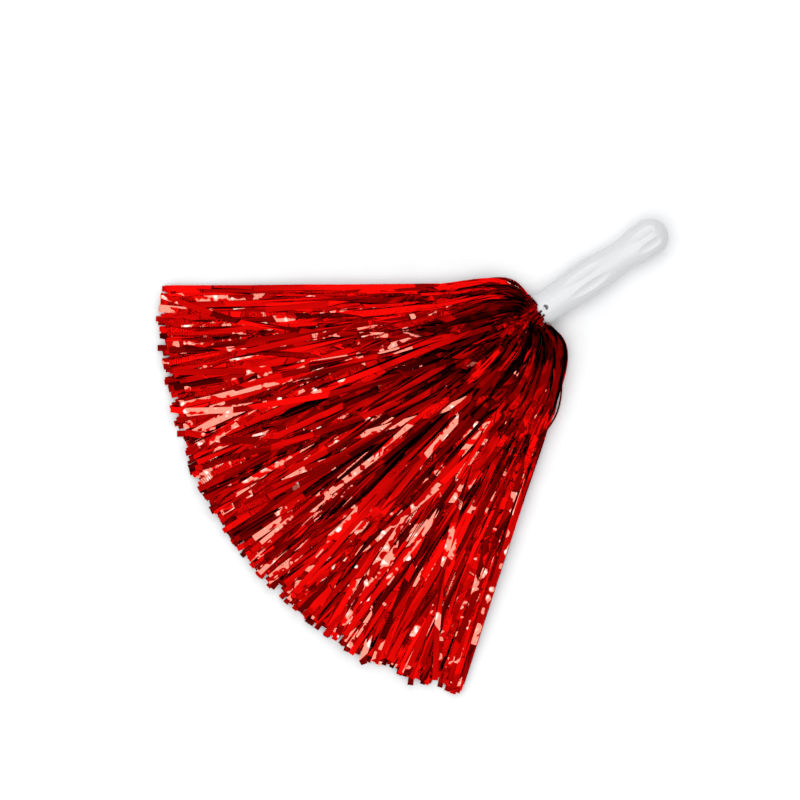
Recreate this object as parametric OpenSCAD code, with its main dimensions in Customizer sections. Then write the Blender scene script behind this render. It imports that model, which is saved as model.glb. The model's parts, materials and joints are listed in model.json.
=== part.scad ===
// Baton-handle cheer pom pom, lying on a table.
// The moulded handle lies along +X and the foil streamers fan out towards -X.
// Working frame: the handle's mouth is the plane x = 0, and the table is z = 0.

/* [Handle] */
// Overall length of the handle
handle_l = 114; // [106:1:125]
// Radius of the plain collar at the mouth
collar_r = 11.7; // [11.5:0.1:12.5]
// Length of the plain collar
collar_l = 20; // [17:1:24]
// Largest radius of the barrel
barrel_r = 13.3; // [12.9:0.1:15]
// Smallest radius, at the waist before the pommel
waist_r = 11.1; // [10.5:0.1:12]
// Largest radius of the pommel
pommel_r = 13.2; // [12.9:0.1:15]
// Number of finger flutes
flutes = 8; // [4:1:10]
// Radius left at the bottom of a flute
flute_floor_r = 12.1; // [11.5:0.1:12.5]
// Radius of the cutter that scoops a flute
flute_r = 7.5; // [5:0.5:12]

/* [Snap joint] */
// Radius of the socket in the handle's mouth
socket_r = 9.5; // [9.3:0.1:9.7]
// Depth of the socket
socket_l = 24; // [23:1:30]
// Distance of the two latch holes from the mouth
latch_x = 12.4; // [12:0.1:13]
// Radius of a latch hole
latch_r = 2; // [1.8:0.1:2.2]

/* [Streamers] */
// Radius of the fan, from its centre to the tips
fan_r = 306; // [260:2:340]
// Angle of the whole fan
fan_spread = 72; // [66:1:80]
// Heading of the middle of the fan
fan_heading = 182.4; // [178:0.2:184]
// Height of the heap of folded foil
crown_h = 38; // [36:1:42]
// Height of a tuft of streamers at its root
tuft_h = 27; // [22:1:30]
// Height of a tuft of streamers at its tip
tip_h = 12; // [6:1:16]
// How far a tuft lifts or droops
lift_angle = 40; // [10:1:45]
// How far an outermost tuft closes towards the middle
close_angle = 2.8; // [1:0.1:3]

/* [Hidden] */
$fn = 96;

// Gap between a moving piece and its neighbours
gap = 0.3;
// Overshoot of a cutter past the face it cuts
over = 1;

// Handle: the waist and pommel sit at fixed shares of its length.
barrel_x = 0.43 * handle_l;
waist_x = 0.68 * handle_l;
pommel_x = 0.85 * handle_l;
dome_x = 0.89 * handle_l;
end_wall = 6;
grip_wall = 2.7;
core_r = waist_r - grip_wall;
axis_z = max(barrel_r, pommel_r);
curve_steps = 8;

// Snap plug, which carries the bound foil into the handle's socket.
stem_r = socket_r - gap;
stem_l = 22;
stem_bore_r = 6.6;
stem_floor = 1.6;
flange_r = 11;
flange_l = 2.1;
neck_r = 5;
neck_l = 15.6;
neck_end_r = 9;
neck_end_l = 2.5;
neck_x = -gap - flange_l - neck_l;

// Tongue: a sprung strip in a slot of the stem, with a barb in a latch hole.
tongue_w = 5.2;
tongue_t = 1.7;
tongue_root_r = 0.95;
tongue_x = 4.2;
tongue_inset = 1.25;
tongue_axis_r = stem_r - tongue_inset;
barb_r = latch_r - gap;
barb_chord = 0.6;
tongue_l = latch_x - barb_chord - tongue_x;
barb_top_r = 11.2;

// Bindings on the neck, inside the foil.
band_r = 9.2;
band_l = 13;
tape_t = 0.5;
tape_l = 9;
tie_t = 1.1;
tie_w = 4;
tie_head = [5, 6, 4];
tie_head_floor = 10.6;
wrap_x = neck_x + neck_l / 2;

// Fan: the streamers spread from one centre inside the handle.
count = 8;
pitch = fan_spread / count;
half_pitch = pitch / 2;
fan_x = 49.4;
fan_y = -5.5;

// Crown: folded foil around the neck, with a hood over the handle's mouth.
crown_r = 90;
crown_rise_h = crown_h - 2;
crown_front_h = crown_h - 6;
crown_back_h = crown_h - 12;
crown_peak_r = 66;
crown_rise_r = 52;
crown_back_r = 38;
left_shoulder = [-24, 12, 31];
right_shoulder = [-27, -24, 33.5];
hood_r = 15.5;
hood_l = 8;
cavity_gap = 0.5;
cavity_r = collar_r + cavity_gap;
cavity_x = neck_x - neck_end_l - 3 * cavity_gap;

// Roots: short blocks that swing sideways about an upright pivot.
root_pivot_r = 98;
root_end_r = 112;
root_h = tuft_h + 2;
root_nose_r = root_pivot_r * tan(half_pitch) - gap;
side_gap = 0.43;
root_end_half = root_end_r * tan(half_pitch) - side_gap;

// Tufts: long wedges that lift about a level hinge at the end of their root.
tuft_hinge_r = 127;
tuft_axis_z = tuft_h / 2;
tuft_nose_r = tuft_axis_z - 0.5;
tuft_nose_half = (tuft_hinge_r - tuft_axis_z) * tan(half_pitch) - side_gap;
// A lifted tuft covers a shorter, narrower stretch of the fan. The two terms
// taken off are the lean of its lower edge and the closing of the fan.
lifted_r = tuft_hinge_r + (fan_r - tuft_hinge_r) * cos(lift_angle);
lean_loss = tuft_axis_z * sin(lift_angle) * tan(half_pitch);
close_half = close_angle / (count - 1);
close_loss = (lifted_r - root_pivot_r) * tan(close_half);
tip_half = lifted_r * tan(half_pitch) - lean_loss - close_loss - gap;

// The middle of the whole object goes to x = 0, y = 0.
first_heading = heading(1);
last_heading = heading(count);
fan_top_y = fan_y + fan_r * sin(first_heading) - tip_half * cos(first_heading);
fan_low_y = fan_y + fan_r * sin(last_heading) + tip_half * cos(last_heading);
shift_x = (fan_r - fan_x - handle_l) / 2;
shift_y = -(fan_top_y + fan_low_y) / 2;

function heading(i) = fan_heading + (i - (count + 1) / 2) * pitch;

// Smooth step from one radius to another along a stretch of the axis
function ease(x0, r0, x1, r1) = [
    for (k = [1 : curve_steps])
        let (t = k / curve_steps)
        [r0 + (r1 - r0) * (1 - cos(180 * t)) / 2, x0 + (x1 - x0) * t]
];

// Quarter ellipse that closes the pommel
function dome(x0, r0, x1) = [
    for (k = [1 : curve_steps])
        let (t = 90 * k / curve_steps)
        [r0 * cos(t), x0 + (x1 - x0) * sin(t)]
];

module placed() {
    translate([shift_x, shift_y, 0]) children();
}

// Turns +Z of a child to +X, on the handle's axis
module on_axis(x) {
    placed() translate([x, 0, axis_z]) rotate([0, 90, 0]) children();
}

// Places a child in the fan, with its local +X pointing out along tuft i
module in_fan(i) {
    placed() translate([fan_x, fan_y, 0]) rotate([0, 0, heading(i)]) children();
}

module ring(outer_r, inner_r, length) {
    difference() {
        cylinder(r = outer_r, h = length);
        translate([0, 0, -over]) cylinder(r = inner_r, h = length + 2 * over);
    }
}

module handle_outside() {
    rotate_extrude() polygon(concat(
        [[0, 0], [collar_r, 0], [collar_r, collar_l]],
        ease(collar_l, collar_r, barrel_x, barrel_r),
        ease(barrel_x, barrel_r, waist_x, waist_r),
        ease(waist_x, waist_r, pommel_x, pommel_r),
        [[pommel_r, dome_x]],
        dome(dome_x, pommel_r, handle_l)
    ));
}

module flute_cutters() {
    for (k = [0 : flutes - 1])
        rotate([0, 0, (k + 0.5) * 360 / flutes])
            translate([flute_floor_r + flute_r, 0, collar_l])
                cylinder(r = flute_r, h = handle_l);
}

module latch_holes() {
    translate([0, 0, latch_x])
        rotate([0, 90, 0])
            cylinder(r = latch_r, h = 2 * (collar_r + over), center = true);
}

module handle() {
    color("white")
    on_axis(0) difference() {
        handle_outside();
        flute_cutters();
        translate([0, 0, -over]) cylinder(r = socket_r, h = socket_l + over);
        cylinder(r = core_r, h = handle_l - end_wall);
        latch_holes();
    }
}

// One slot on each side of the stem, open at the stem's end
module tongue_slots() {
    slot_x = tongue_x - tongue_root_r - gap;
    for (side = [0, 180])
        rotate([0, 0, side])
            translate([-stem_r - over, -tongue_w / 2 - gap, slot_x])
                cube([stem_r + over - stem_bore_r / 2, tongue_w + 2 * gap, stem_l]);
}

module snap_plug() {
    color("gainsboro")
    on_axis(0) difference() {
        union() {
            translate([0, 0, -gap]) cylinder(r = stem_r, h = stem_l + gap);
            translate([0, 0, -gap - flange_l]) cylinder(r = flange_r, h = flange_l);
            translate([0, 0, neck_x]) cylinder(r = neck_r, h = neck_l);
            translate([0, 0, neck_x - neck_end_l]) cylinder(r = neck_end_r, h = neck_end_l);
        }
        translate([0, 0, stem_floor]) cylinder(r = stem_bore_r, h = stem_l);
        tongue_slots();
    }
}

// Tongue along local +Z, with its barb towards local -X
module tongue() {
    translate([-tongue_axis_r, 0, tongue_x]) {
        rotate([90, 0, 0])
            cylinder(r = tongue_root_r, h = tongue_w, center = true);
        translate([-tongue_t / 2, -tongue_w / 2, 0]) cube([tongue_t, tongue_w, tongue_l]);
    }
    intersection() {
        translate([-barb_top_r, 0, latch_x])
            rotate([0, 90, 0])
                cylinder(r = barb_r, h = barb_top_r - tongue_axis_r);
        translate([-barb_top_r - over, -barb_r, latch_x - barb_r])
            cube([barb_top_r, 2 * barb_r, barb_r - barb_chord]);
    }
}

module snap_tongue_top() {
    color("silver") on_axis(0) tongue();
}

module snap_tongue_bottom() {
    color("silver") on_axis(0) rotate([0, 0, 180]) tongue();
}

module header_band() {
    color("firebrick") on_axis(wrap_x - band_l / 2) ring(band_r, neck_r + gap, band_l);
}

module tape_wrap() {
    color("lightgray")
    on_axis(wrap_x - tape_l / 2) ring(band_r + gap + tape_t, band_r + gap, tape_l);
}

module cable_tie() {
    tie_r = band_r + tape_t + 2 * gap;
    color("dimgray")
    on_axis(wrap_x - tie_w / 2) difference() {
        union() {
            cylinder(r = tie_r + tie_t, h = tie_w);
            translate([-tie_head_floor - tie_head[2], -tie_head[1] / 2, -(tie_head[0] - tie_w) / 2])
                cube([tie_head[2], tie_head[1], tie_head[0]]);
        }
        translate([0, 0, -over]) cylinder(r = tie_r, h = tie_w + 2 * over);
    }
}

// Outline of the crown seen from above: a wedge of the fan and two round shoulders
module crown_plan() {
    intersection() {
        translate([fan_x, fan_y]) circle(r = crown_r);
        union() {
            crown_wedge();
            for (s = [left_shoulder, right_shoulder])
                translate([s[0], s[1]]) circle(r = s[2]);
        }
    }
}

module crown_wedge() {
    edge_half = 2 * crown_r * tan(fan_spread / 2);
    intersection() {
        translate([fan_x, fan_y]) rotate(fan_heading)
            polygon([[0, 0], [2 * crown_r, -edge_half], [2 * crown_r, edge_half]]);
        translate([left_shoulder[0] - 2 * crown_r, -crown_r])
            square([2 * crown_r, 2 * crown_r]);
    }
}

// Dome of the crown, as a slope turned about the centre of the fan
module crown_dome() {
    translate([fan_x, fan_y, 0])
        rotate_extrude() polygon([
            [0, 0],
            [crown_r + over, 0],
            [crown_r + over, crown_front_h],
            [crown_peak_r, crown_h],
            [crown_rise_r, crown_rise_h],
            [crown_back_r, crown_back_h],
            [0, crown_back_h]
        ]);
}

module foil_crown() {
    color("crimson")
    difference() {
        union() {
            placed() intersection() {
                linear_extrude(crown_h) crown_plan();
                crown_dome();
            }
            intersection() {
                on_axis(left_shoulder[0]) cylinder(r = hood_r, h = hood_l - left_shoulder[0]);
                placed() translate([-crown_r, -crown_r, 0]) cube(2 * crown_r);
            }
        }
        on_axis(cavity_x) cylinder(r = cavity_r, h = hood_l + over - cavity_x);
        on_axis(wrap_x - tie_head[0] / 2 - gap)
            translate([-tie_head_floor - tie_head[2] - gap, -tie_head[1] / 2 - gap, 0])
                cube([tie_head[2] + gap, tie_head[1] + 2 * gap, tie_head[0] + 2 * gap]);
    }
}

module streamer_root(i) {
    color("red")
    in_fan(i) {
        translate([root_pivot_r, 0, 0]) cylinder(r = root_nose_r, h = root_h);
        linear_extrude(root_h) polygon([
            [root_pivot_r, -root_nose_r],
            [root_end_r, -root_end_half],
            [root_end_r, root_end_half],
            [root_pivot_r, root_nose_r]
        ]);
    }
}

module streamer_tuft(i) {
    color("red")
    in_fan(i) {
        translate([tuft_hinge_r, 0, tuft_axis_z])
            rotate([90, 0, 0])
                cylinder(r = tuft_nose_r, h = 2 * tuft_nose_half, center = true);
        intersection() {
            linear_extrude(tuft_h) polygon([
                [tuft_hinge_r, -tuft_nose_half],
                [fan_r, -tip_half],
                [fan_r, tip_half],
                [tuft_hinge_r, tuft_nose_half]
            ]);
            rotate([90, 0, 0]) translate([0, 0, -fan_r / 2]) linear_extrude(fan_r) polygon([
                [tuft_hinge_r, 0],
                [fan_r, 0],
                [fan_r, tip_h],
                [tuft_hinge_r, tuft_h]
            ]);
        }
    }
}

handle();
snap_plug();
snap_tongue_top();
snap_tongue_bottom();
header_band();
tape_wrap();
cable_tie();
foil_crown();
for (i = [1 : count]) {
    streamer_root(i);
    streamer_tuft(i);
}
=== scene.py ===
import json
import math

import bmesh
import bpy
import numpy as np
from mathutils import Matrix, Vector


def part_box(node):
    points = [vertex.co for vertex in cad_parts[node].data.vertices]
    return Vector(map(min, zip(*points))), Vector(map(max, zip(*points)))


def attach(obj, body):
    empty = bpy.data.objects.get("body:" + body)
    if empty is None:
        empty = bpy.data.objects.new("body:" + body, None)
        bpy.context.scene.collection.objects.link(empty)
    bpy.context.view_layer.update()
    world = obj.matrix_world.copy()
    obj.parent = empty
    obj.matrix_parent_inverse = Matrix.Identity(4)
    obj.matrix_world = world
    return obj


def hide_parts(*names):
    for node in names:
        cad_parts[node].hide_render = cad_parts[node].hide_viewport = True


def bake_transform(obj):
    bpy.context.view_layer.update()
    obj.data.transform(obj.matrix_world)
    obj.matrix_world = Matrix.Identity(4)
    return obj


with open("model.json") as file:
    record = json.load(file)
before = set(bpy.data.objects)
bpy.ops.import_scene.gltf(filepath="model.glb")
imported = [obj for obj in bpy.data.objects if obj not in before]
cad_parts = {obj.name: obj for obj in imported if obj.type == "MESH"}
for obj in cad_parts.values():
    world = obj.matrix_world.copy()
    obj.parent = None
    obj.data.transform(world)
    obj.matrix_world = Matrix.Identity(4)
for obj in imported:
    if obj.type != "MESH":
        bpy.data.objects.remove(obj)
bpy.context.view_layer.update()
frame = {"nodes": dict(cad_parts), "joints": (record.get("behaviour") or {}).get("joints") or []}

MM = 0.001
SEED = 5
rng = np.random.default_rng(SEED)

# ---------------------------------------------------------------- measures
# The handle, in millimetres. Its mouth is x = 0 and its pommel points to +X.
HANDLE_L = 114.0
COLLAR_R, COLLAR_L = 11.7, 20.0
BARREL_R, WAIST_R, POMMEL_R = 13.3, 11.1, 13.2
BARREL_X, WAIST_X, POMMEL_X, DOME_X = (share * HANDLE_L for share in (0.43, 0.68, 0.85, 0.89))
SOCKET_R, SOCKET_L = 9.5, 24.0
CORE_R, CORE_L = 8.4, HANDLE_L - 6.0
LATCH_X, LATCH_R = 12.4, 2.0
DRILL_L = 40.0
FLUTES, FLUTE_FLOOR_R, FLUTE_R = 8, 12.1, 7.5
# Rounding of the flutes' edges, and of the mouth on its inside and its outside
FLUTE_EDGE = 0.2
INNER_LIP, OUTER_LIP = 0.4, 0.5
# Share of a lip's rounding at which its middle ring lies
LIP_MIDDLE = 0.3
# How far past the socket's wall a face still counts as inside the handle
INSIDE_MARGIN = 0.3
# A radius past the whole handle, where there is no flute to cut it
FAR_OUT = 99.0
HANDLE_AROUND, DOME_RINGS = 192, 24

# The fan. Radii are from its centre, and angles from the handle's -X direction.
TUFTS = 8
PIVOT_R, SPLIT_R, FAN_R = 98.0, 106.5, 306.0
LEFT_EDGE, RIGHT_EDGE = -33.6, 37.9
RIBBONS = 820
RIBBON_W, RIBBON_T = 4.2, 0.12
NECK_R = 12.5
# Height of the heap of strips at six radii, and the share that it loses at the fan's two edges
HEAP_R = (40, 62, 90, 127, 200, 330)
HEAP_H = (30, 36, 31, 25, 18, 11)
EDGE_DROP = 0.45
# Lowest a strip's middle and its corners come to the table
LOWEST_MIDDLE, LOWEST_CORNER = 0.35, 0.15

# How a strip leaves the neck. The lean is in degrees round the neck, and lower layers start beneath it.
LEAN_AT_EDGE, LEAN_SPREAD = 95, 18
LOWER_LAYERS, LOWER_LEAN = 0.45, 0.75
START_X, START_SPAN = -7, 14
# Pull of the curve as it leaves the neck, mid-fan and then what the right and left edges add to it
PULL, PULL_RIGHT, PULL_LEFT, PULL_SPREAD = 22, 54, 50, 5
FORWARD_RIGHT, FORWARD_LEFT = 0.5, 0.2
ARRIVING_PULL = 68

# Two kinds of strip: one is crumpled all along, and the other has a crease here and there. Facets are
# the lengths between creases. Sway, wave and skew are spreads in millimetres, and the last two are the
# shares of facets that get a painted glint and that are crumpled.
CRUMPLED = {"facets": (3.5, 11), "sway": 0.4, "wave": 0.5, "skew": 0.25, "glints": 0.42, "rough": 0.7}
CREASED = {"facets": (12, 60), "sway": 1.0, "wave": 1.1, "skew": 1.3, "glints": 0.30, "rough": 0.12}
CRUMPLED_SHARE = 0.22

# The foil's painted tones: the film is an even red, and each facet's tone is painted reflection and
# painted shade. Each pair has the value in the head of the fan and the value at its tips.
HEAD_R, TIPS_R = 105, 230
# Painted shade: darkening of a strip for each strip that lies over it
PAINTED_SHADE = (0.44, 0.03)
# The facets' mean painted tone, its spread and its upper limit
TONE = (1.02, 0.70)
TONE_SPREAD = (0.40, 0.12)
BRIGHTEST = (0.87, 1.0)
# Parts of a tone's spread: from strip to strip, from facet to facet and from side to side
STRIP_DRAW, FACET_DRAW, SIDE_DRAW = 0.6, 0.7, 0.45
# Colours of the painted tone, from painted shade to pure red, and of the painted glints
BLACK_RED, DEEP_RED = (0.001, 0.0, 0.0), (0.19, 0.0005, 0.0003)
PURE_RED, PINK, NEAR_WHITE = (0.84, 0.003, 0.002), (1.0, 0.25, 0.18), (1.0, 0.75, 0.67)
# Noise plus glint at which a facet starts to shine pink, and at which it does so fully
GLINT_EDGE = (1.18, 1.22)
# Turn of the embossed ribs, in radians per millimetre of ribbon
EMBOSS_TURN = 2 * math.pi / 1.7

# The hood: short strips that lap over the handle's mouth
HOOD_STRIPS, HOOD_STEPS = 180, 7
HOOD_BACK, HOOD_FRONT = (-28, -10), (3.5, 9.0)

handle_low, handle_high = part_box("handle")
MOUTH = Vector((handle_low.x, (handle_low.y + handle_high.y) / 2, (handle_low.z + handle_high.z) / 2))
AXIS_Z = MOUTH.z / MM
joints = {j["name"]: j for j in frame["joints"]}


def flat(point):
    return Vector((point[0], point[1], 0))


def tuft_direction(i):
    pivot = flat(joints[f"fan_sway_{i}"]["pos_m"])
    hinge = flat(joints[f"tuft_lift_{i}"]["pos_m"])
    return (hinge - pivot).normalized()


DIRECTIONS = [tuft_direction(i + 1) for i in range(TUFTS)]
FAN = flat(joints["fan_sway_1"]["pos_m"]) - DIRECTIONS[0] * PIVOT_R * MM
# The centre of the fan and the tufts' angles, in the handle's own millimetres
FAN_X = (FAN.x - MOUTH.x) / MM
FAN_Y = (FAN.y - MOUTH.y) / MM
TUFT_ANGLES = [math.degrees(math.atan2(-d.y, -d.x)) for d in DIRECTIONS]


# --------------------------------------------------------------- materials
def new_material(name):
    material = bpy.data.materials.new(name)
    material.use_nodes = True
    nodes = material.node_tree.nodes
    return material, nodes, material.node_tree.links, nodes["Principled BSDF"]


def noise(nodes, links, scale, detail=3.0):
    """Noise in the object's own space, with a scale in turns per metre"""
    node = nodes.new("ShaderNodeTexNoise")
    links.new(nodes.new("ShaderNodeTexCoord").outputs["Object"], node.inputs["Vector"])
    node.inputs["Scale"].default_value = scale
    node.inputs["Detail"].default_value = detail
    return node


def ramp(nodes, low, high, start=0.3, end=0.7):
    node = nodes.new("ShaderNodeValToRGB")
    node.color_ramp.elements[0].position = start
    node.color_ramp.elements[1].position = end
    node.color_ramp.elements[0].color = (*low, 1)
    node.color_ramp.elements[1].color = (*high, 1)
    return node


def remap(nodes, low, high):
    node = nodes.new("ShaderNodeMapRange")
    node.inputs["To Min"].default_value = low
    node.inputs["To Max"].default_value = high
    return node


def add_bump(nodes, links, shader, height, strength, distance):
    node = nodes.new("ShaderNodeBump")
    node.inputs["Strength"].default_value = strength
    node.inputs["Distance"].default_value = distance
    links.new(height, node.inputs["Height"])
    links.new(node.outputs["Normal"], shader.inputs["Normal"])


def plastic(name, low, high, roughness, scale=900.0, bump=0.04, glow=0.0):
    """Moulded plastic, with two close tones, uneven gloss and a fine texture.

    Glow is painted light: an even emission that stands in for the light that comes through a thin wall.
    """
    material, nodes, links, shader = new_material(name)
    grain = noise(nodes, links, scale)
    tone = ramp(nodes, low, high)
    gloss = remap(nodes, roughness * 0.85, roughness * 1.2)
    links.new(grain.outputs[0], tone.inputs[0])
    links.new(tone.outputs[0], shader.inputs["Base Color"])
    links.new(grain.outputs[0], gloss.inputs[0])
    links.new(gloss.outputs[0], shader.inputs["Roughness"])
    add_bump(nodes, links, shader, grain.outputs[0], bump, 0.0002)
    shader.inputs["Emission Color"].default_value = (1, 1, 1, 1)
    shader.inputs["Emission Strength"].default_value = glow
    return material


def attribute(nodes, name):
    node = nodes.new("ShaderNodeAttribute")
    node.attribute_name = name
    return node.outputs["Fac"]


def math_node(nodes, links, operation, first, second=None):
    """A maths node. Its inputs are sockets or plain numbers."""
    node = nodes.new("ShaderNodeMath")
    node.operation = operation
    for place, value in enumerate((first, second)):
        if isinstance(value, bpy.types.NodeSocket):
            links.new(value, node.inputs[place])
        elif value is not None:
            node.inputs[place].default_value = value
    return node.outputs[0]


def add_glints(nodes, links, tone):
    """Colour of the foil: its painted tone, with painted pink and nearly white glints on the facets chosen
    to catch the light
    """
    patches = noise(nodes, links, 160.0, 1.0)
    glint = ramp(nodes, PINK, NEAR_WHITE, 0.64, 0.74)
    links.new(patches.outputs[0], glint.inputs[0])
    edge = nodes.new("ShaderNodeMapRange")
    edge.inputs["From Min"].default_value = GLINT_EDGE[0]
    edge.inputs["From Max"].default_value = GLINT_EDGE[1]
    reach = math_node(nodes, links, "ADD", patches.outputs[0], attribute(nodes, "glint"))
    links.new(reach, edge.inputs[0])
    mix = nodes.new("ShaderNodeMix")
    mix.data_type = "RGBA"
    links.new(edge.outputs[0], mix.inputs["Factor"])
    links.new(tone.outputs[0], mix.inputs["A"])
    links.new(glint.outputs[0], mix.inputs["B"])
    return mix.outputs["Result"]


def foil_relief(nodes, links, wrinkle):
    """Height of the foil's surface: wrinkles and faint embossed ribs, stronger on crumpled facets"""
    turn = math_node(nodes, links, "MULTIPLY", attribute(nodes, "run"), EMBOSS_TURN)
    ribs = math_node(nodes, links, "SINE", turn)
    faint_ribs = math_node(nodes, links, "MULTIPLY", ribs, 0.08)
    relief = math_node(nodes, links, "ADD", wrinkle.outputs[0], faint_ribs)
    share = math_node(nodes, links, "ADD", attribute(nodes, "crumpled"), 0.06)
    return math_node(nodes, links, "MULTIPLY", relief, share)


def foil(name):
    """Metallised film.

    The mesh holds each facet's painted tone, its crumpling and its painted glint, and the run along the
    ribbon.
    The film's own colour is an even red: the tone is painted reflection and painted shade.
    """
    material, nodes, links, shader = new_material(name)
    tone = ramp(nodes, BLACK_RED, PURE_RED, 0.0, 1.0)
    tone.color_ramp.elements.new(0.5).color = (*DEEP_RED, 1)
    links.new(attribute(nodes, "facet_painted_light"), tone.inputs[0])
    links.new(add_glints(nodes, links, tone), shader.inputs["Base Color"])
    wrinkle = noise(nodes, links, 520.0, 2.0)
    gloss = remap(nodes, 0.05, 0.12)
    links.new(wrinkle.outputs[0], gloss.inputs[0])
    links.new(gloss.outputs[0], shader.inputs["Roughness"])
    add_bump(nodes, links, shader, foil_relief(nodes, links, wrinkle), 0.8, 0.0008)
    shader.inputs["Metallic"].default_value = 1.0
    # A red tint keeps the film from turning grey where it is seen edge-on.
    shader.inputs["Specular Tint"].default_value = (1.0, 0.02, 0.02, 1.0)
    return material


WHITE = plastic("grip_white", (0.68, 0.68, 0.69), (0.73, 0.73, 0.74), 0.22)
# The plug and the socket's inside carry a painted glow
PLUG = plastic("plug_white", (0.58, 0.58, 0.57), (0.64, 0.64, 0.63), 0.4, glow=0.10)
# The socket's inside is darker than the outside as painted shade
INSIDE = plastic("grip_inside_painted_shade", (0.45, 0.45, 0.45), (0.50, 0.50, 0.50), 0.4, glow=0.12)
TAPE = plastic("tape_clear", (0.60, 0.55, 0.44), (0.70, 0.66, 0.56), 0.2, 300.0, 0.2)
NYLON = plastic("tie_black", (0.012, 0.012, 0.012), (0.03, 0.03, 0.03), 0.45, 1500.0, 0.1)
FOIL = foil("foil_red")
HEADER = plastic("foil_header", (0.30, 0.0, 0.0), (0.75, 0.01, 0.01), 0.25, 500.0, 0.4)
TABLE = plastic("table_white", (0.90, 0.90, 0.90), (0.93, 0.93, 0.93), 0.7, 40.0, 0.01)


# ------------------------------------------------------------------ handle
def ease(x, x0, r0, x1, r1):
    """Radius at x on the smooth step from r0 at x0 to r1 at x1"""
    t = np.clip((x - x0) / (x1 - x0), 0, 1)
    return r0 + (r1 - r0) * (1 - np.cos(np.pi * t)) / 2


def handle_radius(x):
    """Outer radius of the handle at x, before the flutes"""
    if x <= COLLAR_L:
        return COLLAR_R
    if x <= BARREL_X:
        return float(ease(x, COLLAR_L, COLLAR_R, BARREL_X, BARREL_R))
    if x <= WAIST_X:
        return float(ease(x, BARREL_X, BARREL_R, WAIST_X, WAIST_R))
    if x <= POMMEL_X:
        return float(ease(x, WAIST_X, WAIST_R, POMMEL_X, POMMEL_R))
    if x <= DOME_X:
        return POMMEL_R
    share = min(1.0, (x - DOME_X) / (HANDLE_L - DOME_X))
    return POMMEL_R * math.sqrt(max(0.0, 1 - share * share))


def flute_radius(angle):
    """Distance from the axis to the flute cutters, along each direction in angle"""
    centre = FLUTE_FLOOR_R + FLUTE_R
    step = 2 * np.pi / FLUTES
    off = np.mod(angle, step) - step / 2
    across = centre * np.sin(off)
    inside = np.abs(across) < FLUTE_R
    depth = np.sqrt(np.where(inside, FLUTE_R ** 2 - across ** 2, 0))
    return np.where(inside, centre * np.cos(off) - depth, FAR_OUT)


def soft_min(a, b, width):
    """The smaller of a and b, with the edge between them rounded"""
    blend = np.clip(0.5 + 0.5 * (b - a) / width, 0, 1)
    return b * (1 - blend) + a * blend - width * blend * (1 - blend)


def mouth_rings(full):
    """Rings from the inside of the core to the outside of the collar, round the mouth's two lips"""
    rings = [(CORE_L, full * CORE_R), (SOCKET_L + INNER_LIP, full * CORE_R), (SOCKET_L, full * SOCKET_R)]
    rings += [(x, full * SOCKET_R) for x in (18.0, 12.0, 6.0, INNER_LIP)]
    middle = LIP_MIDDLE * INNER_LIP
    rings += [(middle, full * (SOCKET_R + middle)), (0.0, full * (SOCKET_R + INNER_LIP))]
    middle = LIP_MIDDLE * OUTER_LIP
    rings += [(0.0, full * (COLLAR_R - OUTER_LIP)), (middle, full * (COLLAR_R - middle))]
    return rings + [(OUTER_LIP, full * COLLAR_R)]


def handle_sections(around):
    """(x, radii) rings from the inside of the core, round the mouth and on to the pommel"""
    angle = np.arange(around) * 2 * np.pi / around
    full = np.ones(around)
    rings = mouth_rings(full)
    over_dome = np.sin(np.linspace(0, np.pi / 2, DOME_RINGS))[:-1]
    stations = np.concatenate([np.arange(2.0, DOME_X, 1.0), DOME_X + (HANDLE_L - DOME_X) * over_dome])
    for x in stations:
        radius = full * handle_radius(x)
        if x > COLLAR_L:
            radius = soft_min(radius, flute_radius(angle), FLUTE_EDGE)
        rings.append((float(x), radius))
    return angle, rings


def mark_sharp(mesh, limit=35.0):
    """Smooth shading, with the edges sharper than limit left crisp"""
    work = bmesh.new()
    work.from_mesh(mesh)
    for face in work.faces:
        face.smooth = True
    for edge in work.edges:
        edge.smooth = len(edge.link_faces) == 2 and edge.calc_face_angle(0) < math.radians(limit)
    work.to_mesh(mesh)
    work.free()


def new_object(name, verts, faces, material):
    mesh = bpy.data.meshes.new(name)
    mesh.from_pydata(verts, [], faces)
    mesh.validate()
    mesh.materials.append(material)
    obj = bpy.data.objects.new(name, mesh)
    bpy.context.scene.collection.objects.link(obj)
    return obj


def apply_modifiers(obj):
    bpy.context.view_layer.update()
    evaluated = obj.evaluated_get(bpy.context.evaluated_depsgraph_get())
    mesh = bpy.data.meshes.new_from_object(evaluated)
    obj.modifiers.clear()
    obj.data = mesh


def handle_shell():
    """Points and faces of the handle's closed skin, from its rings"""
    around = HANDLE_AROUND
    angle, rings = handle_sections(around)
    verts = []
    for x, radius in rings:
        for a, r in zip(angle, radius):
            verts.append((MOUTH.x + x * MM, MOUTH.y + r * MM * math.sin(a), MOUTH.z + r * MM * math.cos(a)))
    faces = []
    for k in range(len(rings) - 1):
        for n in range(around):
            m = (n + 1) % around
            faces.append((k * around + n, k * around + m, (k + 1) * around + m, (k + 1) * around + n))
    start, end = len(verts), len(verts) + 1
    verts.append((MOUTH.x + CORE_L * MM, MOUTH.y, MOUTH.z))
    verts.append((MOUTH.x + HANDLE_L * MM, MOUTH.y, MOUTH.z))
    last = (len(rings) - 1) * around
    for n in range(around):
        m = (n + 1) % around
        faces.append((start, m, n))
        faces.append((last + n, last + m, end))
    return verts, faces


def drill_latch_holes(handle):
    """Cuts one hole straight through both walls"""
    bpy.ops.mesh.primitive_cylinder_add(
        vertices=64, radius=LATCH_R * MM, depth=DRILL_L * MM,
        location=(MOUTH.x + LATCH_X * MM, MOUTH.y, MOUTH.z))
    drill = bpy.context.object
    cut = handle.modifiers.new("latch_holes", "BOOLEAN")
    cut.object = drill
    cut.solver = "EXACT"
    apply_modifiers(handle)
    bpy.data.objects.remove(drill)


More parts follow.
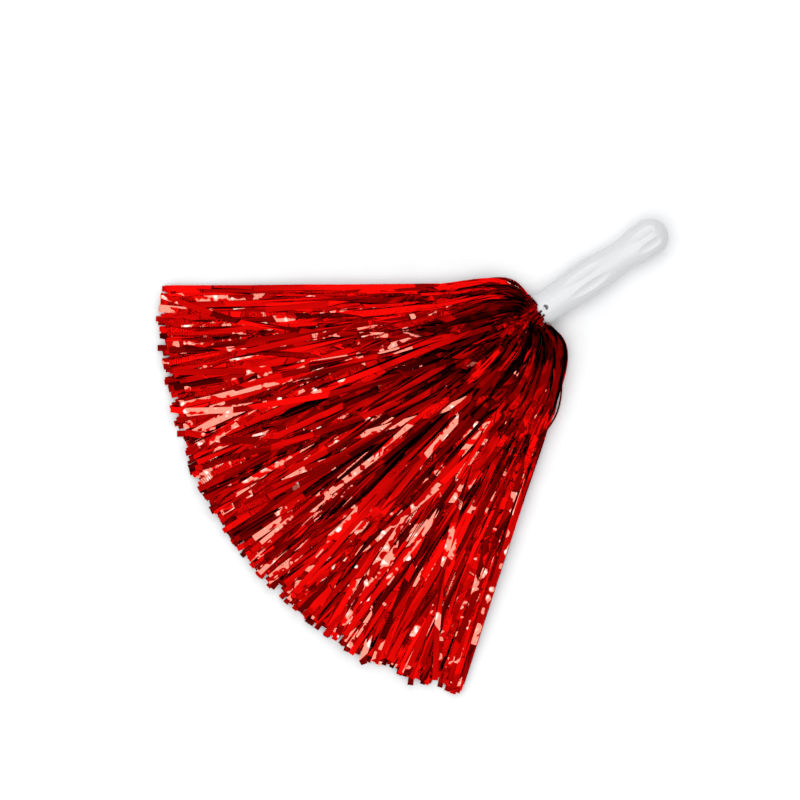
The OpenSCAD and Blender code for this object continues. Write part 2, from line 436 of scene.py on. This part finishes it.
def paint_inside(handle):
    """Gives the faces of the socket and the core their own material, darker as painted shade and with a
    painted glow
    """
    handle.data.materials.append(INSIDE)
    for face in handle.data.polygons:
        offset = (face.center - MOUTH) / MM
        is_inside = math.hypot(offset.y, offset.z) < SOCKET_R + INSIDE_MARGIN and offset.x <= CORE_L
        face.material_index = 1 if is_inside else 0


def make_handle():
    handle = new_object("grip", *handle_shell(), WHITE)
    drill_latch_holes(handle)
    mark_sharp(handle.data)
    paint_inside(handle)
    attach(handle, "grip")
    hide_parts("handle")


# ----------------------------------------------------------------- ribbons
def heap_height(radius, share):
    """Height of the heap at a radius. share is 0 mid-fan and 1 at its two edges."""
    return np.interp(radius, HEAP_R, HEAP_H) * (1 - EDGE_DROP * share ** 3)


def in_plan(radius, angle):
    """The point at a radius and an angle in the fan, in the handle's millimetres"""
    a = np.radians(angle)
    return FAN_X - radius * np.cos(a), FAN_Y - radius * np.sin(a)


def hermite(start, leave, target, arrive, steps):
    """Smooth curve from start to target, with the pull that it leaves and arrives with"""
    t = np.linspace(0, 1, steps)[:, None]
    return ((2 * t ** 3 - 3 * t ** 2 + 1) * start + (t ** 3 - 2 * t ** 2 + t) * leave
            + (3 * t ** 2 - 2 * t ** 3) * target + (t ** 3 - t ** 2) * arrive)


def root_path(angle, share, layer, target, steps):
    """Curve from the neck to the target point, leaving the handle's mouth sideways"""
    on_right = angle > 0
    side = -1.0 if on_right else 1.0
    lean = side * (LEAN_AT_EDGE * min(1.0, share) + rng.normal(0, LEAN_SPREAD))
    if layer < LOWER_LAYERS:
        lean = side * 180 - lean * LOWER_LEAN
    lean = math.radians(lean)
    out_y, out_z = math.sin(lean), math.cos(lean)
    start_x = START_X + START_SPAN * share * rng.random() + rng.normal(0, 1.0)
    radius = NECK_R + rng.random() * 1.5
    start = np.array([start_x, radius * out_y, AXIS_Z + radius * out_z])
    start[2] = max(start[2], 0.8)
    pull = PULL + (PULL_RIGHT if on_right else PULL_LEFT) * share + rng.normal(0, PULL_SPREAD)
    forward = FORWARD_RIGHT if on_right else FORWARD_LEFT
    leave = np.array([pull * forward * share - 8 * (1 - share), pull * out_y, 0.5 * pull * out_z])
    if out_z < 0:
        leave[2] *= 0.2
    heading = math.radians(angle)
    arrive = ARRIVING_PULL * np.array([-math.cos(heading), -math.sin(heading), -0.03])
    return hermite(start, leave, target, arrive, steps)


def crease_positions(first, last, low, high):
    """Places of the creases along a ribbon, low to high millimetres apart"""
    places = [first]
    while places[-1] < last:
        places.append(places[-1] + rng.uniform(low, high))
    return np.array(places)


def stepped_roll(places, spread, at):
    """Roll of a creased ribbon: constant on each facet"""
    return rng.normal(0, spread, len(places) + 1)[np.searchsorted(places, at, side="right")]


def twisting_roll(places, spread, at):
    """Roll of a ribbon that twists evenly from one place to the next"""
    return np.interp(at, places, rng.normal(0, spread, len(places)))


def ribbon_frames(points, roll):
    """Directions along, across and through a ribbon at each point, carried back from its tip"""
    along = np.gradient(points, axis=0)
    along /= np.linalg.norm(along, axis=1)[:, None]
    normal = np.array([0.0, 0.0, 1.0])
    normals = np.zeros_like(points)
    for k in range(len(points) - 1, -1, -1):
        normal = normal - along[k] * (normal @ along[k])
        normal /= np.linalg.norm(normal)
        normals[k] = normal
    across = np.cross(normals, along)
    c, s = np.cos(roll)[:, None], np.sin(roll)[:, None]
    return along, across * c + normals * s, normals * c - across * s


def four_corners(look, stations):
    """A look's values for the four corners of each station, left, right, right, left"""
    look = np.asarray(look, float)
    if look.ndim < 2:
        look = look.reshape(-1, 1)
    return np.broadcast_to(look, (stations, 2))[:, [0, 1, 1, 0]].ravel().tolist()


class Strips:
    """Collects closed thin ribbons into one mesh"""

    def __init__(self, name):
        self.name = name
        self.verts, self.faces = [], []
        self.looks = {"run": [], "facet_painted_light": [], "crumpled": [], "glint": []}

    def add(self, points, roll, width, skew, looks):
        """Everything has one value for each station or one for all, and a look may have one for each side"""
        along, across, through = ribbon_frames(points, roll)
        half = across * np.reshape(width, (-1, 1)) / 2 + along * np.reshape(skew, (-1, 1))
        skin = through * RIBBON_T / 2
        base = len(self.verts)
        ring = np.stack([points - half - skin, points + half - skin,
                         points + half + skin, points - half + skin], axis=1)
        ring[..., 2] = np.maximum(ring[..., 2], LOWEST_CORNER)
        self.verts.extend(ring.reshape(-1, 3).tolist())
        steps = np.linalg.norm(np.diff(points, axis=0), axis=1)
        looks = {"run": np.concatenate([[0], np.cumsum(steps)]), **looks}
        for name, values in self.looks.items():
            values.extend(four_corners(looks.get(name, 0.0), len(points)))
        for k in range(len(points) - 1):
            a, b = base + 4 * k, base + 4 * k + 4
            for n in range(4):
                m = (n + 1) % 4
                self.faces.append((a + n, a + m, b + m, b + n))
        end = base + 4 * (len(points) - 1)
        self.faces.append((base + 3, base + 2, base + 1, base))
        self.faces.append((end, end + 1, end + 2, end + 3))

    def build(self):
        """The foil object. Its points go from the handle's millimetres to metres in the frame."""
        verts = [(MOUTH.x + x * MM, MOUTH.y + y * MM, z * MM) for x, y, z in self.verts]
        obj = new_object(self.name, verts, self.faces, FOIL)
        for name, values in self.looks.items():
            layer = obj.data.attributes.new(name, "FLOAT", "POINT")
            layer.data.foreach_set("value", np.array(values, np.float32))
        return obj


def facet_index(places, at, side="left"):
    """Number of the facet that each station is on. Side left counts a crease with the facet before it."""
    return np.searchsorted(places, at, side=side)


def between(pair, share):
    """The value that lies at a share of the way from a pair's first to its second"""
    return pair[0] + (pair[1] - pair[0]) * share


def outwardness(radius):
    """0 in the head of the fan and 1 towards the tips"""
    return np.clip((radius - HEAD_R) / (TIPS_R - HEAD_R), 0, 1)


def strips_over(layer, share, radius):
    """Number of strips that lie over one, which falls to none at the fan's edges"""
    arc = np.radians(RIGHT_EDGE - LEFT_EDGE) * radius
    over = (1 - layer) * RIBBONS * RIBBON_W / arc
    return over * (1 - share ** 1.5)


def painted_facet_light(index, layer, share, radius, ribbon_draw):
    """Painted tone along a streamer: a painted reflection that differs from facet to facet, bright at the
    tips, and painted shade that makes it nearly black deep in the head
    """
    radius = np.maximum(radius, 45.0)
    outward = outwardness(radius)
    draws = STRIP_DRAW * ribbon_draw + FACET_DRAW * rng.normal(0, 1, index.max() + 1)[index]
    draws = draws[:, None] + rng.normal(0, SIDE_DRAW, (len(index), 2))
    tone = between(TONE, outward)[:, None] + between(TONE_SPREAD, outward)[:, None] * draws
    tone = np.clip(tone, 0.05, between(BRIGHTEST, outward)[:, None])
    # Painted shade: the tone darkens for each strip that lies over this one
    return tone * np.exp(-strips_over(layer, share, radius) * between(PAINTED_SHADE, outward))[:, None]


def some_facets(index, chance):
    """1 on a few of the facets and 0 on the others"""
    return (rng.random(index.max() + 1)[index] < chance).astype(float)


def fold_back(value, low, high):
    """Mirrors a value that is past either limit back inside"""
    if value < low:
        return min(2 * low - value, high)
    return max(2 * high - value, low) if value > high else value


def near_part(angle, share, layer, split, base_roll, split_roll, ribbon_draw):
    """Stations, roll and looks of a streamer from the neck to the split"""
    points = root_path(angle, share, layer, split, 19)
    run = np.concatenate([[0], np.cumsum(np.linalg.norm(np.diff(points, axis=0), axis=1))])
    to_go = run[-1] - run
    creases = crease_positions(0, run[-1], 26, 70)
    bumps = [np.interp(run, creases, rng.normal(0, size, len(creases))) for size in (1.0, 1.0, 0.5)]
    fade = np.clip(to_go / 12, 0, 1) * np.clip(run / 6, 0, 1)
    roll = (base_roll + twisting_roll(creases, 0.9, run)) * (1 - 0.5 * share ** 4)
    roll = split_roll + (roll - split_roll) * np.clip(to_go / 15, 0, 1)
    radius = np.hypot(points[:, 0] - FAN_X, points[:, 1] - FAN_Y)
    index = facet_index(creases, run)
    # Painted glints on a few facets of the upper strips
    glints = some_facets(index, 0.06 if layer > 0.6 else 0)[:, None] * rng.uniform(0.2, 1.0, (len(index), 2))
    # Each facet's painted tone, with painted shade from the strips over it
    looks = {"facet_painted_light": painted_facet_light(index, layer, share, radius, ribbon_draw),
             "crumpled": some_facets(index, CREASED["rough"]), "glint": glints}
    return points + np.stack(bumps, axis=1) * fade[:, None], roll, looks


def far_stations(tip, creases):
    """Places of the cross-sections: close together over the hinge, then on each side of each crease"""
    stations = np.concatenate([np.arange(SPLIT_R, 150, 5.5), creases, creases + 1.6, [tip]])
    stations = np.unique(stations[(stations >= SPLIT_R) & (stations <= tip)])
    return stations[np.concatenate([[True], np.diff(stations) > 0.6])]


def far_tip(angle, share, loose):
    """Angle and radius of a streamer's tip. Some strips swing further, and some are cut short."""
    swing = rng.normal(0, 9.0 if rng.random() < 0.2 else 3.6) * loose
    uneven = min(rng.normal(0, 4), 6)
    short = 9 if rng.random() < 0.15 else 0
    return fold_back(angle + swing, LEFT_EDGE, RIGHT_EDGE), FAN_R - 10 * share ** 2 + uneven - short


def wander(stations, knots, spread):
    """Sideways steps from crease to crease, each drawn afresh"""
    return np.interp(stations, knots, np.concatenate([[0], rng.normal(0, spread, len(knots) - 1)]))


def drift(stations, knots, spread):
    """Sideways steps from crease to crease that add up along the strip"""
    steps = rng.normal(0, spread, len(knots) - 1)
    return np.interp(stations, knots, np.concatenate([[0], np.cumsum(steps)]))


def past_split(stations):
    """0 at the split and 1 from 15 mm past it, so that a strip's two parts meet there"""
    return np.clip((stations - SPLIT_R) / 15, 0, 1)


def far_points(angle, share, layer, tip_angle, stations, knots, kind, loose):
    """Middle line of a streamer from the split to its tip"""
    sway = drift(stations, knots, kind["sway"]) * loose
    wave = wander(stations, knots, kind["wave"])
    fade = past_split(stations)
    progress = (stations - SPLIT_R) / (stations[-1] - SPLIT_R)
    px, py = in_plan(stations, angle + (tip_angle - angle) * progress)
    px = px + sway * fade * math.sin(math.radians(angle))
    py = py - sway * fade * math.cos(math.radians(angle))
    rise = 0.5 + layer * heap_height(stations, share) + wave * fade * min(1.0, 0.3 + 1.5 * layer)
    return np.stack([px, py, np.maximum(rise, LOWEST_MIDDLE)], axis=1)


def far_part(angle, share, layer, base_roll, split_roll, ribbon_draw):
    """Stations, roll, skew and looks of a streamer from the split to its tip"""
    kind = CRUMPLED if rng.random() < CRUMPLED_SHARE else CREASED
    loose = 1 - 0.9 * share ** 6
    tip_angle, tip = far_tip(angle, share, loose)
    creases = crease_positions(SPLIT_R + rng.uniform(2, 20), tip - 4, *kind["facets"])
    creases = creases[creases < tip - 3]
    stations = far_stations(tip, creases)
    knots = np.concatenate([[SPLIT_R], creases, [tip + 1]])
    points = far_points(angle, share, layer, tip_angle, stations, knots, kind, loose)
    calm = np.interp((stations - SPLIT_R) / (tip - SPLIT_R), [0, 0.35, 1], [1, 0.65, 0.35])
    if rng.random() < 0.6:
        turn = twisting_roll(knots, 0.8, stations)
    else:
        turn = stepped_roll(creases + 0.8, 0.5, stations)
    roll = (base_roll + turn) * calm * (1 - 0.5 * share ** 6)
    index = facet_index(creases, stations, "right")
    skew = rng.normal(0, kind["skew"], index.max() + 1)[index] * past_split(stations)
    skew[-1] = 0
    index = facet_index(creases, stations)
    # Painted glints only on upper strips that lie nearly flat, where the light would catch them
    catches_light = layer > 0.55 and abs(base_roll) < 0.6
    glints = some_facets(index, kind["glints"] * outwardness(stations) * catches_light)
    roll = roll * (1 - 0.75 * glints)
    roll[0] = split_roll
    glints = glints[:, None] * rng.uniform(0.25, 1.0, (len(stations), 2))
    # Each facet's painted tone, with painted shade from the strips over it
    looks = {"facet_painted_light": painted_facet_light(index, layer, share, stations, ribbon_draw),
             "crumpled": some_facets(index, kind["rough"]), "glint": glints}
    return points, roll, skew, looks


def add_ribbon(inner, outer, angle, layer):
    """One streamer: its root part goes to the tuft's inner mesh and the rest to the outer one"""
    share = abs(angle) / (RIGHT_EDGE if angle > 0 else -LEFT_EDGE)
    base_roll = rng.normal(0, 0.2) + (1.15 if rng.random() < 0.17 else 0)
    split_roll = base_roll + rng.normal(0, 0.2)
    width = RIBBON_W * rng.uniform(0.9, 1.05)
    split = np.array([*in_plan(SPLIT_R, angle), 0.5 + layer * heap_height(SPLIT_R, share)])
    ribbon_draw = rng.normal(0, 1)
    points, roll, looks = near_part(angle, share, layer, split, base_roll, split_roll, ribbon_draw)
    gathered = np.linspace(0.45, 1.0, len(points))
    inner.add(points, roll, width * gathered, 0.0, looks)
    points, roll, skew, looks = far_part(angle, share, layer, base_roll, split_roll, ribbon_draw)
    outer.add(points, roll, width, skew, looks)


def add_stray(inner):
    """One thin strand that stands off the right-hand edge"""
    t = np.linspace(0, 1, 15)
    px, py = in_plan(64 + 50 * t, RIGHT_EDGE - 1.8 + 4.6 * np.sin(np.pi * t) ** 0.8)
    points = np.stack([px, py, 6 - 4 * t], axis=1)
    # The strand's painted tone, a mid red, stands in for its reflection
    inner.add(points, np.full(len(t), 0.5), 1.3, 0.0, {"facet_painted_light": 0.7})


def make_streamers():
    inner = [Strips(f"streamers_near_{i + 1}") for i in range(TUFTS)]
    outer = [Strips(f"streamers_far_{i + 1}") for i in range(TUFTS)]
    order = rng.permutation(RIBBONS)
    for n in range(RIBBONS):
        angle = LEFT_EDGE + (RIGHT_EDGE - LEFT_EDGE) * (n + rng.random()) / RIBBONS
        layer = (order[n] + rng.random()) / RIBBONS
        tuft = int(np.argmin([abs(angle - a) for a in TUFT_ANGLES]))
        add_ribbon(inner[tuft], outer[tuft], angle, layer)
    add_stray(inner[TUFTS - 1])
    for i in range(TUFTS):
        near = inner[i].build()
        far = outer[i].build()
        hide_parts(f"streamer_root_{i + 1}", *(["foil_crown"] if i == 0 else []))
        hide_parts(f"streamer_tuft_{i + 1}")
        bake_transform(near)
        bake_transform(far)


def make_hood():
    """Short ragged ends of foil that lap over the handle's mouth"""
    hood = Strips("foil_hood")
    steps = HOOD_STEPS
    for n in range(HOOD_STRIPS):
        a = math.radians(n * 360 / HOOD_STRIPS + rng.normal(0, 3))
        x = np.linspace(rng.uniform(*HOOD_BACK), rng.uniform(*HOOD_FRONT), steps)
        lift = NECK_R + rng.uniform(0.1, 1.6) + np.linspace(5.0, 0, steps) + rng.normal(0, 0.2, steps)
        twist = a + np.linspace(0, rng.normal(0, 0.25), steps)
        points = np.stack([x, lift * np.sin(twist), np.maximum(AXIS_Z + lift * np.cos(twist), 0.5)], axis=1)
        roll = rng.normal(0, 0.35, steps) - a
        width = rng.uniform(1.4, 3.4)
        # Each hood strip gets a random painted tone that stands in for its reflection
        hood.add(points, roll, width, 0.0, {"facet_painted_light": rng.uniform(0.15, 0.8)})
    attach(hood.build(), "grip")


# ------------------------------------------------------------ CAD finishes
def finish_cad():
    finishes = {"snap_plug": PLUG, "snap_tongue_top": PLUG, "snap_tongue_bottom": PLUG,
                "header_band": HEADER, "tape_wrap": TAPE, "cable_tie": NYLON}
    for name, material in finishes.items():
        mesh = frame["nodes"][name].data
        mesh.materials.clear()
        mesh.materials.append(material)


# ------------------------------------------------------------------- stage
# The camera looks straight down, with the handle turned this many degrees from level.
ROLL = 33.9
# Middle of the view from the handle's mouth, its width and the camera's height, in millimetres
VIEW_CENTRE = (-108.0, 3.0)
VIEW_WIDTH, VIEW_HEIGHT = 564.0, 2400.0
SENSOR_WIDTH = 36.0
# Half of the floor's side, in metres
FLOOR_HALF = 4.0
# Each softbox: its place and size in metres, its radiance, and whether the foil reflects it
SOFTBOXES = {
    "overhead": ((0.0, 0.0, 2.0), (2.6, 2.6), 1.1, True),
    "side_strip": ((-1.5, -0.9, 1.1), (1.2, 0.4), 2.2, True),
    "top_strip": ((0.8, 1.5, 1.2), (1.2, 0.4), 2.2, True),
    "soft_wash": ((-0.3, 0.3, 1.95), (2.6, 2.6), 1.0, False),
}


def make_camera():
    camera = bpy.data.objects.new("camera", bpy.data.cameras.new("camera"))
    bpy.context.scene.collection.objects.link(camera)
    camera.location = (MOUTH.x + VIEW_CENTRE[0] * MM, MOUTH.y + VIEW_CENTRE[1] * MM, VIEW_HEIGHT * MM)
    camera.rotation_euler = (0, 0, math.radians(-ROLL))
    camera.data.sensor_width = SENSOR_WIDTH
    camera.data.lens = SENSOR_WIDTH * VIEW_HEIGHT / VIEW_WIDTH
    camera.data.clip_end = 20
    bpy.context.scene.camera = camera


def make_softbox(name, place, size, radiance, reflected):
    """A softbox aimed at the object. One that is not reflected only lights matt surfaces."""
    light = bpy.data.objects.new(name, bpy.data.lights.new(name, "AREA"))
    bpy.context.scene.collection.objects.link(light)
    light.data.shape = "RECTANGLE"
    light.data.size, light.data.size_y = size
    light.data.energy = radiance * math.pi * size[0] * size[1]
    light.location = place
    light.rotation_euler = (-Vector(place)).to_track_quat("-Z", "Y").to_euler()
    light.visible_camera = False
    light.visible_glossy = reflected


def make_floor():
    size = FLOOR_HALF
    corners = [(-size, -size, 0), (size, -size, 0), (size, size, 0), (-size, size, 0)]
    new_object("floor", corners, [(0, 1, 2, 3)], TABLE)


def make_world():
    world = bpy.data.worlds.new("studio")
    world.use_nodes = True
    back = world.node_tree.nodes["Background"]
    back.inputs["Color"].default_value = (0.95, 0.97, 1.0, 1)
    back.inputs["Strength"].default_value = 0.38
    bpy.context.scene.world = world
    bpy.context.scene.view_settings.view_transform = "Standard"


def make_stage():
    make_floor()
    for name, settings in SOFTBOXES.items():
        make_softbox(name, *settings)
    make_world()


make_handle()
make_streamers()
make_hood()
finish_cad()
make_camera()
make_stage()
